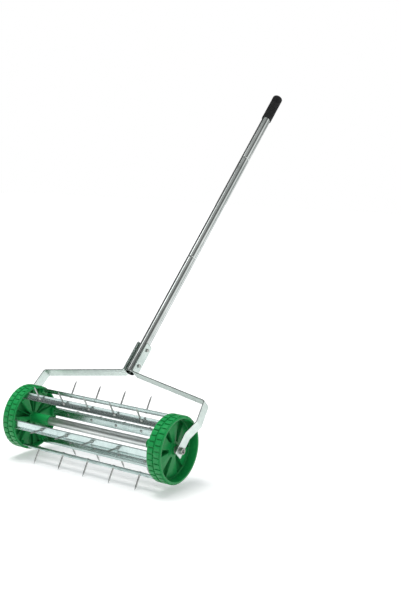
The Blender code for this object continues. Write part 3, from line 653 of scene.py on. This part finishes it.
washer_outline = [tuple(point) for point in rounded(
    [(bore_r, 0.0), (washer_r, 0.0), (washer_r, washer_height), (bore_r, washer_height)],
    (0.0002, 0.0004, 0.0006, 0.0002), 3)]
for side, way, outwards in (("right", 1, towards_right), ("left", -1, towards_left)):
    seat = axle_place @ Matrix.Translation((way * washer_x, 0.0, 0.0)) @ outwards
    washer_mesh = turned("washer", washer_outline, 64, closed=True, place=seat)
    washer = show(f"washer_{side}", washer_mesh, fastener_zinc)
    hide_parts(f"axle_washer_{side}")
    seat = handle_place @ Matrix.Translation((way * jam_nut_x, 0.0, 0.0)) @ outwards
    nut_mesh = nut("jam_nut", axle_nut_width, jam_nut_height, bore_r, seat)
    jam_nut = show(f"jam_nut_{side}", nut_mesh, fastener_zinc)
    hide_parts(f"axle_jam_nut_{side}")
    seat = handle_place @ Matrix.Translation((way * axle_nut_x, 0.0, 0.0)) @ outwards
    nut_mesh = nut("axle_nut", axle_nut_width, axle_nut_height, bore_r, seat)
    in_bore = thread(thread_turns_shown, thread_r, thread_pitch, thread_ridge,
                     seat @ Matrix.Translation((0.0, 0.0, thread_start)))
    outer_nut = show(f"axle_nut_{side}_turned", joined_mesh("axle_nut", [nut_mesh, in_bore]), fastener_zinc)
    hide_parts(f"axle_nut_{side}")
    for piece in (washer, jam_nut, outer_nut):
        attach(piece, "handle_frame")


# Wheels: moulded green plastic, each in one shot with its rim, six vanes, hub and the long
# sleeve that reaches into the drum. Deep pockets separate the vanes and thin ribs stiffen
# their backs. Heights run outwards from the wheel's inner face.
wheel_width = 0.048
tread_r = 0.097
web_rim = (0.088, 0.020)
web_hub = (0.015, 0.028)
web_back = 0.0095
web_wall = 0.0025
pocket_floor = 0.012
vane_edge = 20.0
vane_crease = 0.0018
crease_start_r = 0.018
crease_grows = 0.020
crease_fades = 0.008
hub_face = 0.034
hub_neck_r = 0.0180
full_rib_r = 0.030
sleeve_r = 0.0155
sleeve_end = -0.062
sleeve_seat = -0.042
centre_tube_r = 0.0130
mould_green = (0.006, 0.262, 0.058, 1.0)
pale_green = (0.012, 0.400, 0.098, 1.0)
worn_green = (0.060, 0.480, 0.170, 1.0)
# The darkest green is painted shade for the recesses, not a colour of the plastic.
painted_shade_green = (0.002, 0.052, 0.014, 1.0)

green_plastic, green_tree, green_surface, place = new_finish("moulded_green_plastic")
green_surface.inputs["Specular IOR Level"].default_value = 0.36
from_axle = add_node(green_tree, "ShaderNodeVectorMath", {0: place, 1: axle_spot}, operation='SUBTRACT')
across = add_node(green_tree, "ShaderNodeVectorMath", {0: from_axle.outputs[0], 1: (0.0, 1.0, 1.0)},
                  operation='MULTIPLY')
reach = add_node(green_tree, "ShaderNodeVectorMath", {0: across.outputs[0]}, operation='LENGTH')
flow = noise(green_tree, place, 11.0, 4.0)
pebbles = noise(green_tree, place, 1100.0, 2.0)
scuffs = noise(green_tree, place, 90.0, 8.0, 0.75)
on_tread = mapped(green_tree, reach.outputs["Value"], (0.0975, 0.1000))
scuffed = mapped(green_tree, scuffs, (0.50, 0.72), (0.0, 0.55))
worn = maths(green_tree, 'MULTIPLY', on_tread, scuffed)
green = mixed(green_tree, worn, mixed(green_tree, flow, mould_green, pale_green), worn_green)
# Painted shade: ambient occlusion darkens the green towards a near-black green in the pockets, round the
# sleeve and in other recesses, where shade falls.
recess = add_node(green_tree, "ShaderNodeAmbientOcclusion", {"Distance": 0.050}, samples=8, only_local=True)
unshaded_share = mapped(green_tree, recess.outputs["AO"], (0.15, 0.75), (0.30, 1.0))
gloss = mapped(green_tree, scuffs, (0.3, 0.75), (0.26, 0.48))
grained = add_node(green_tree, "ShaderNodeBump", {"Height": pebbles, "Strength": 0.10, "Distance": 0.0002})
raised = add_node(green_tree, "ShaderNodeBump", {
    "Height": scuffs, "Strength": 0.05, "Distance": 0.0006, "Normal": grained.outputs[0]})
link_surface(green_tree, green_surface, mixed(green_tree, unshaded_share, painted_shade_green, green), gloss, raised)

# Angles, in degrees from the middle of a vane to the middle of a pocket, at which the mould's
# surface turns, and how deep the pocket is cut there.
front_angles = (0, 2, 5, 9, 13, 16.5, 18.6, 19.4, 20.0, 20.6, 21.3, 22.8, 26, 30)
front_depths = (0, 0, 0, 0, 0, 0, 0, 0, 0.04, 0.93, 1, 1, 1, 1)
back_depths = (0, 0, 0.05, 0.93, 1, 1, 1, 1, 1, 0.93, 0.05, 0, 0, 0)
even_angles = tuple(30 * step / (len(front_angles) - 1) for step in range(len(front_angles)))


def web_height(radius):
    """How far out the cone of the wheel stands at this radius."""
    share = (radius - web_hub[0]) / (web_rim[0] - web_hub[0])
    return web_hub[1] + share * (web_rim[1] - web_hub[1])


def back_angles(radius):
    """Where the thin middle rib and the pocket walls stand at this radius on the inner side."""
    radius = max(radius, hub_neck_r)
    near_hub = min(1.0, radius / full_rib_r)

    def turn(width):
        """The angle that this much width takes up."""
        return math.degrees(math.asin(width * near_hub / radius))

    rib = [0] + [turn(width) for width in (0.0006, 0.0009, 0.0012, 0.0022)]
    wall = [vane_edge - turn(width) for width in (0.0038, 0.0029, 0.0025, 0.0019)]
    between = [rib[-1] + (wall[0] - rib[-1]) * share for share in (0.25, 0.5, 0.75)]
    return rib + between + wall + [(wall[-1] + 30) / 2, 30]


def wheel_ring(radius, half_angles, half_heights):
    """Mirrors half a vane and half a pocket and repeats them six times round the hub."""
    angles = list(half_angles) + [60 - angle for angle in half_angles[-2:0:-1]]
    heights = list(half_heights) + list(half_heights[-2:0:-1])
    ring = []
    for sector in range(6):
        for angle, level in zip(angles, heights):
            turn = math.radians(60 * sector + angle)
            ring.append((radius * math.cos(turn), radius * math.sin(turn), level))
    return ring


def plain_rings(outline, half_angles):
    """Level rings, with the same angles in all or worked out for each radius."""
    rings = []
    for radius, level in outline:
        angles = half_angles(radius) if callable(half_angles) else half_angles
        rings.append(wheel_ring(radius, angles, [level] * len(angles)))
    return rings


def front_ring(radius, depth):
    """One ring over the creased vanes and down into the pockets of the outer side."""
    heights = []
    grown_share = min(1.0, max(0.0, (radius - crease_start_r) / crease_grows))
    kept_share = min(1.0, max(0.0, (web_rim[0] - radius) / crease_fades))
    for angle, share in zip(front_angles, front_depths):
        crease = vane_crease * max(0.0, 1 - angle / vane_edge)
        crease *= grown_share * kept_share
        top = web_height(radius) + crease
        heights.append(top - min(share, depth) * (top - pocket_floor))
    return wheel_ring(radius, front_angles, heights)


def back_ring(radius, depth):
    """One ring along the ribs and into the hollows behind the vanes."""
    ceiling = web_height(radius) - web_wall
    heights = [web_back + min(share, depth) * (ceiling - web_back) for share in back_depths]
    return wheel_ring(radius, back_angles(radius), heights)


# The moulding's outline from the bore over the outer side, the tread and the inner side to the
# sleeve: pairs of radius and height, or of radius and how far pockets and hollows are cut there.
hub_outline = [(bore_r, hub_face - 0.0005), (bore_r + 0.0004, hub_face), (0.0142, hub_face),
               (0.0148, hub_face - 0.0003), (0.0150, hub_face - 0.0010), (0.0150, 0.0296),
               (0.0154, 0.0286), (0.0163, 0.0279)]
pocket_cuts = [(0.0190, 0), (0.0225, 0), (0.0236, 0), (0.0241, 0.04), (0.0245, 0.93), (0.0253, 1),
               (0.0290, 1), (0.0360, 1), (0.0440, 1), (0.0520, 1), (0.0600, 1), (0.0680, 1), (0.0750, 1),
               (0.0800, 1), (0.0830, 1), (0.0848, 1), (0.0854, 0.93), (0.0858, 0.04), (0.0863, 0)]
rim_outline = [(0.0871, 0.0206), (0.0877, 0.0213), (0.0880, 0.0224), (0.0881, 0.0240), (0.0890, 0.0340),
               (0.0899, 0.0464), (0.0902, 0.0473), (0.0908, 0.0478), (0.0916, wheel_width)]
tread_outline = [(0.0944, wheel_width), (0.0957, 0.0477), (0.0966, 0.0469), (tread_r, 0.0456),
                 (tread_r, 0.0400), (tread_r, 0.0320), (tread_r, 0.0240), (tread_r, 0.0160),
                 (tread_r, 0.0080), (tread_r, 0.0024), (0.0966, 0.0011), (0.0958, 0.0003), (0.0948, 0.0)]
mouth_outline = [(0.0932, 0.0), (0.0926, 0.0003), (0.0923, 0.0010), (0.0909, 0.0080)]
hollow_cuts = [(0.0906, 0), (0.0903, 0.05), (0.0899, 0.93), (0.0890, 1), (0.0840, 1), (0.0760, 1),
               (0.0660, 1), (0.0560, 1), (0.0460, 1), (0.0360, 1), (0.0290, 1), (0.0245, 1), (0.0215, 1),
               (0.0197, 1), (0.0189, 0.93), (0.0184, 0.05), (hub_neck_r, 0)]
sleeve_outline = [(0.0169, web_back), (0.0160, 0.0091), (0.0155, 0.0080), (sleeve_r, -0.0200),
                  (sleeve_r, sleeve_end + 0.0010), (sleeve_r - 0.0003, sleeve_end + 0.0003),
                  (sleeve_r - 0.0010, sleeve_end), (centre_tube_r + 0.0007, sleeve_end),
                  (centre_tube_r + gap, sleeve_end + 0.0004), (centre_tube_r + gap, sleeve_seat),
                  (bore_r, sleeve_seat)]
wheel_rings = plain_rings(hub_outline, front_angles)
wheel_rings += [front_ring(radius, depth) for radius, depth in pocket_cuts]
wheel_rings += plain_rings(rim_outline, front_angles) + plain_rings(tread_outline, even_angles)
wheel_rings += plain_rings(mouth_outline, back_angles)
wheel_rings += [back_ring(radius, depth) for radius, depth in hollow_cuts]
wheel_rings += plain_rings(sleeve_outline, back_angles)


# Lugs and sockets: part of the same moulding. Two rows of blocks stand round the tread, half
# a pitch apart, and a block for each slat stands inside the rim.
lug_rows = 36
lug_length = 0.0138
lug_width = 0.0182
lug_pitch = 0.0222
lug_top_r = 0.09995
lug_root_r = 0.0950
lug_edge = 0.0009
lug_stagger = 180 / lug_rows
socket_width = 0.0102
socket_length = 0.0260
socket_top_r = 0.0935
socket_root_r = 0.0800
socket_edge = 0.0006
socket_middle = 0.0057
moulding_angle = 50.0

rows_tree, given = new_tree("rows_round_the_axle", {
    "Geometry": ('NodeSocketGeometry', None), "In a row": ('NodeSocketInt', 1),
    "Pitch": ('NodeSocketFloat', 0.0), "Middle": ('NodeSocketFloat', 0.0),
    "Stagger": ('NodeSocketFloat', 0.0), "Rows": ('NodeSocketInt', 6),
    "First angle": ('NodeSocketFloat', 0.0), "Finish": ('NodeSocketMaterial', None)})
row_reach = maths(rows_tree, 'MULTIPLY', maths(rows_tree, 'SUBTRACT', given["In a row"], 1.0), given["Pitch"])
row_start = add_node(rows_tree, "ShaderNodeCombineXYZ", {
    "X": maths(rows_tree, 'MULTIPLY_ADD', row_reach, -0.5, given["Middle"])})
row_step = add_node(rows_tree, "ShaderNodeCombineXYZ", {"X": given["Pitch"]})
row_points = add_node(rows_tree, "GeometryNodeMeshLine", {
    "Count": given["In a row"], "Start Location": row_start.outputs[0], "Offset": row_step.outputs[0]})
number = add_node(rows_tree, "GeometryNodeInputIndex").outputs[0]
stagger_turn = add_node(rows_tree, "ShaderNodeCombineXYZ", {
    "X": maths(rows_tree, 'MULTIPLY', number, given["Stagger"])})
row_rotation = add_node(rows_tree, "FunctionNodeEulerToRotation", {0: stagger_turn.outputs[0]})
one_row = add_node(rows_tree, "GeometryNodeInstanceOnPoints", {
    "Points": row_points.outputs[0], "Instance": given["Geometry"], "Rotation": row_rotation.outputs[0]})
ring_points = add_node(rows_tree, "GeometryNodeMeshLine", {
    "Count": given["Rows"], "Offset": (0.0, 0.0, 0.0)})
share_of_turn = maths(rows_tree, 'DIVIDE', 2 * math.pi, given["Rows"])
ring_turn = add_node(rows_tree, "ShaderNodeCombineXYZ", {
    "X": maths(rows_tree, 'MULTIPLY_ADD', number, share_of_turn, given["First angle"])})
ring_rotation = add_node(rows_tree, "FunctionNodeEulerToRotation", {0: ring_turn.outputs[0]})
all_rows = add_node(rows_tree, "GeometryNodeInstanceOnPoints", {
    "Points": ring_points.outputs[0], "Instance": one_row.outputs[0], "Rotation": ring_rotation.outputs[0]})
end_tree(rows_tree, all_rows.outputs[0], given["Finish"])


def rows_round_axle(name, mesh, finish, rows, first_angle, in_a_row=1, pitch=0.0, middle=0.0, stagger=0.0):
    """Copies of a mesh made at the top of the drum, in even rows round the axle."""
    copies = grown(name, rows_tree, {
        "In a row": in_a_row, "Pitch": pitch, "Middle": middle, "Stagger": math.radians(stagger),
        "Rows": rows, "First angle": math.radians(first_angle), "Finish": finish}, mesh)
    copies.transform(axle_place)
    return copies


def block(name, width, length, root_r, top_r, edge):
    """A moulded block with rounded edges, its outer face curved like the tread."""
    low = (-width / 2, -length / 2, root_r)
    high = (width / 2, length / 2, top_r)
    work = bmesh.new()
    bmesh.ops.create_cube(work, size=1.0)
    bmesh.ops.scale(work, vec=Vector(high) - Vector(low), verts=work.verts)
    bmesh.ops.translate(work, vec=(Vector(high) + Vector(low)) / 2, verts=work.verts)
    bmesh.ops.bevel(work, geom=work.edges, offset=edge, segments=2, profile=0.6, affect='EDGES')
    for corner in work.verts:
        corner.co.z -= top_r - math.sqrt(top_r ** 2 - corner.co.y ** 2)
    mesh = bpy.data.meshes.new(name)
    work.to_mesh(mesh)
    work.free()
    return mesh


for side, way, outwards in (("right", 1, towards_right), ("left", -1, towards_left)):
    seat = axle_place @ Matrix.Translation((way * wheel_inner_x, 0.0, 0.0)) @ outwards
    wheel_mesh = skin("wheel", wheel_rings, along_closed=True, place=seat)
    wheel = show(f"wheel_{side}_moulding", wheel_mesh, green_plastic, moulding_angle)
    lug = block("lug", lug_width, lug_length, lug_root_r, lug_top_r, lug_edge)
    lug_mesh = rows_round_axle("lugs", lug, green_plastic, lug_rows, 0.0, in_a_row=2, pitch=way * lug_pitch,
                               middle=way * (wheel_inner_x + wheel_width / 2), stagger=lug_stagger)
    lugs = show(f"wheel_{side}_lugs", lug_mesh, green_plastic, moulding_angle)
    socket = block("socket", socket_width, socket_length, socket_root_r, socket_top_r, socket_edge)
    socket_mesh = rows_round_axle("sockets", socket, green_plastic, 6, 30.0,
                                  middle=way * (wheel_inner_x + socket_middle))
    sockets = show(f"wheel_{side}_sockets", socket_mesh, green_plastic, moulding_angle)
    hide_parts(f"wheel_{side}")
    for piece in (wheel, lugs, sockets):
        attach(piece, "drum")


# Slats: six channels rolled from 1.8 mm galvanised sheet, open side out. A bare tongue at each
# end is pushed into the wheel, and holes in the web take the tines.
slat_r = 0.087
sheet = 0.0018
web_half_width = 0.0092
lip = (0.0132, 0.094)
channel_bend_r = 0.0020
channel_edge_r = 0.0005
slat_end_x = 0.2517
slat_stations = (-slat_end_x, -0.12, 0.0, 0.12, slat_end_x)
tongue_half_width = 0.0083
tongue_end_x = 0.2610
tongue_overlap = 0.001
tine_pitch = 0.097

slat_steel = worked_steel("galvanised_slat_steel", (0.435, 0.55, 0.53), (0.68, 0.80, 0.775), (0.16, 0.36),
                          (4.0, 260.0, 260.0), edge_tint=0.35, bump=0.10, crystals=0.20)


def sheet_outline(path, thickness):
    """Closed outline of a sheet of even thickness along a flat path."""
    left = []
    right = []
    for index, point in enumerate(path):
        into = point - path[index - 1] if index else path[1] - point
        out = path[index + 1] - point if index < len(path) - 1 else into
        normal = Vector((-into.y, into.x)).normalized()
        mitre = (normal + Vector((-out.y, out.x)).normalized()).normalized()
        offset = mitre * (thickness / 2 / mitre.dot(normal))
        left.append(point + offset)
        right.append(point - offset)
    return left + right[::-1]


channel = rounded([(-lip[0], lip[1]), (-web_half_width, slat_r), (web_half_width, slat_r), lip],
                  (0, channel_bend_r, channel_bend_r, 0), 5)
outline = sheet_outline(channel, sheet)
corner_radii = [0.0] * len(outline)
for corner in (0, len(channel) - 1, len(channel), len(outline) - 1):
    corner_radii[corner] = channel_edge_r
outline = rounded(outline, corner_radii, 3)
channel_mesh = skin("channel", [[(x, y, z) for y, z in outline] for x in slat_stations])
tongues = []
for way in (-1, 1):
    ends = sorted((way * (slat_end_x - tongue_overlap), way * tongue_end_x))
    tongue = [(-tongue_half_width, slat_r - sheet / 2), (tongue_half_width, slat_r - sheet / 2),
              (tongue_half_width, slat_r + sheet / 2), (-tongue_half_width, slat_r + sheet / 2)]
    tongues.append(skin("tongue", [[(x, y, z) for y, z in tongue] for x in ends]))
slat_mesh = joined_mesh("slat", [channel_mesh] + tongues)
slats = show("slats", rows_round_axle("slats", slat_mesh, slat_steel, 6, -30.0), slat_steel, 30.0)
row_names = ("top_rear", "top_front", "front", "bottom_front", "bottom_rear", "rear")
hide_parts(*[f"slat_{row}" for row in row_names])
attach(slats, "drum")


# Tines: steel pins turned with a conical collar, zinc plated, and peened over inside the slat.
# The rows hold four and five in turn.
tine_tip_r = 0.140
tine_stem_r = 0.0025
collar_foot = 0.0882
collar_r = 0.0058
rivet_foot = 0.0858
rivet_r = 0.0044

tine_steel = worked_steel("plated_tine_steel", (0.34, 0.355, 0.34), (0.66, 0.68, 0.66), (0.20, 0.40),
                          (700.0, 700.0, 700.0), edge_tint=0.3, bump=0.15)
tine_outline = [(0.0, tine_tip_r), (0.0005, tine_tip_r - 0.0003), (0.0016, tine_tip_r - 0.006),
                (tine_stem_r, tine_tip_r - 0.012), (tine_stem_r, collar_foot + 0.0095),
                (0.0027, collar_foot + 0.0082), (0.0034, collar_foot + 0.0060),
                (0.0054, collar_foot + 0.0018), (collar_r, collar_foot + 0.0012),
                (collar_r, collar_foot + 0.0003), (0.0056, collar_foot), (tine_stem_r, collar_foot),
                (tine_stem_r, rivet_foot), (0.0043, rivet_foot), (rivet_r, rivet_foot - 0.0004),
                (0.0038, rivet_foot - 0.0012), (0.0023, rivet_foot - 0.0018), (0.0, rivet_foot - 0.0020)]
for per_row, first_angle, name in ((4, -30.0, "fours"), (5, 30.0, "fives")):
    pin = turned("tine", tine_outline, 16)
    tine_mesh = rows_round_axle("tines", pin, tine_steel, 3, first_angle, in_a_row=per_row, pitch=tine_pitch)
    tines = show(f"tines_in_{name}", tine_mesh, tine_steel, 35.0)
    rows = row_names[per_row % 2::2]
    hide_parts(*[f"tine_{row}_{number}" for row in rows for number in range(1, per_row + 1)])
    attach(tines, "drum")


# Centre tube: plain plated steel tube, 26 mm across, cut square and slipped over the axle. Its
# ends sit in the sleeves of both wheels and hold the wheels apart.
half_tube = 0.2097
centre_tube_inner_r = centre_tube_r - tube_wall
centre_tube_edge = 0.0003
tube_outline = [tuple(point) for point in rounded(
    [(centre_tube_inner_r, -half_tube), (centre_tube_r, -half_tube), (centre_tube_r, half_tube),
     (centre_tube_inner_r, half_tube)], (centre_tube_edge,) * 4, 2)]
# Painted light: this steel is a lighter copy of the handle's tube steel, so that the tube looks pale despite
# its dark reflections.
centre_steel_painted_light = worked_steel("drawn_centre_tube_steel_painted_light", (0.70, 0.735, 0.725), (0.90, 0.92, 0.905),
                            (0.34, 0.52), (3.0, 420.0, 420.0), edge_tint=0.3)
centre_mesh = turned("centre_tube", tube_outline, 64, closed=True, place=axle_place @ towards_right)
centre_tube = show("centre_tube_drawn", centre_mesh, centre_steel_painted_light)
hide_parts("centre_tube")
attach(centre_tube, "drum")
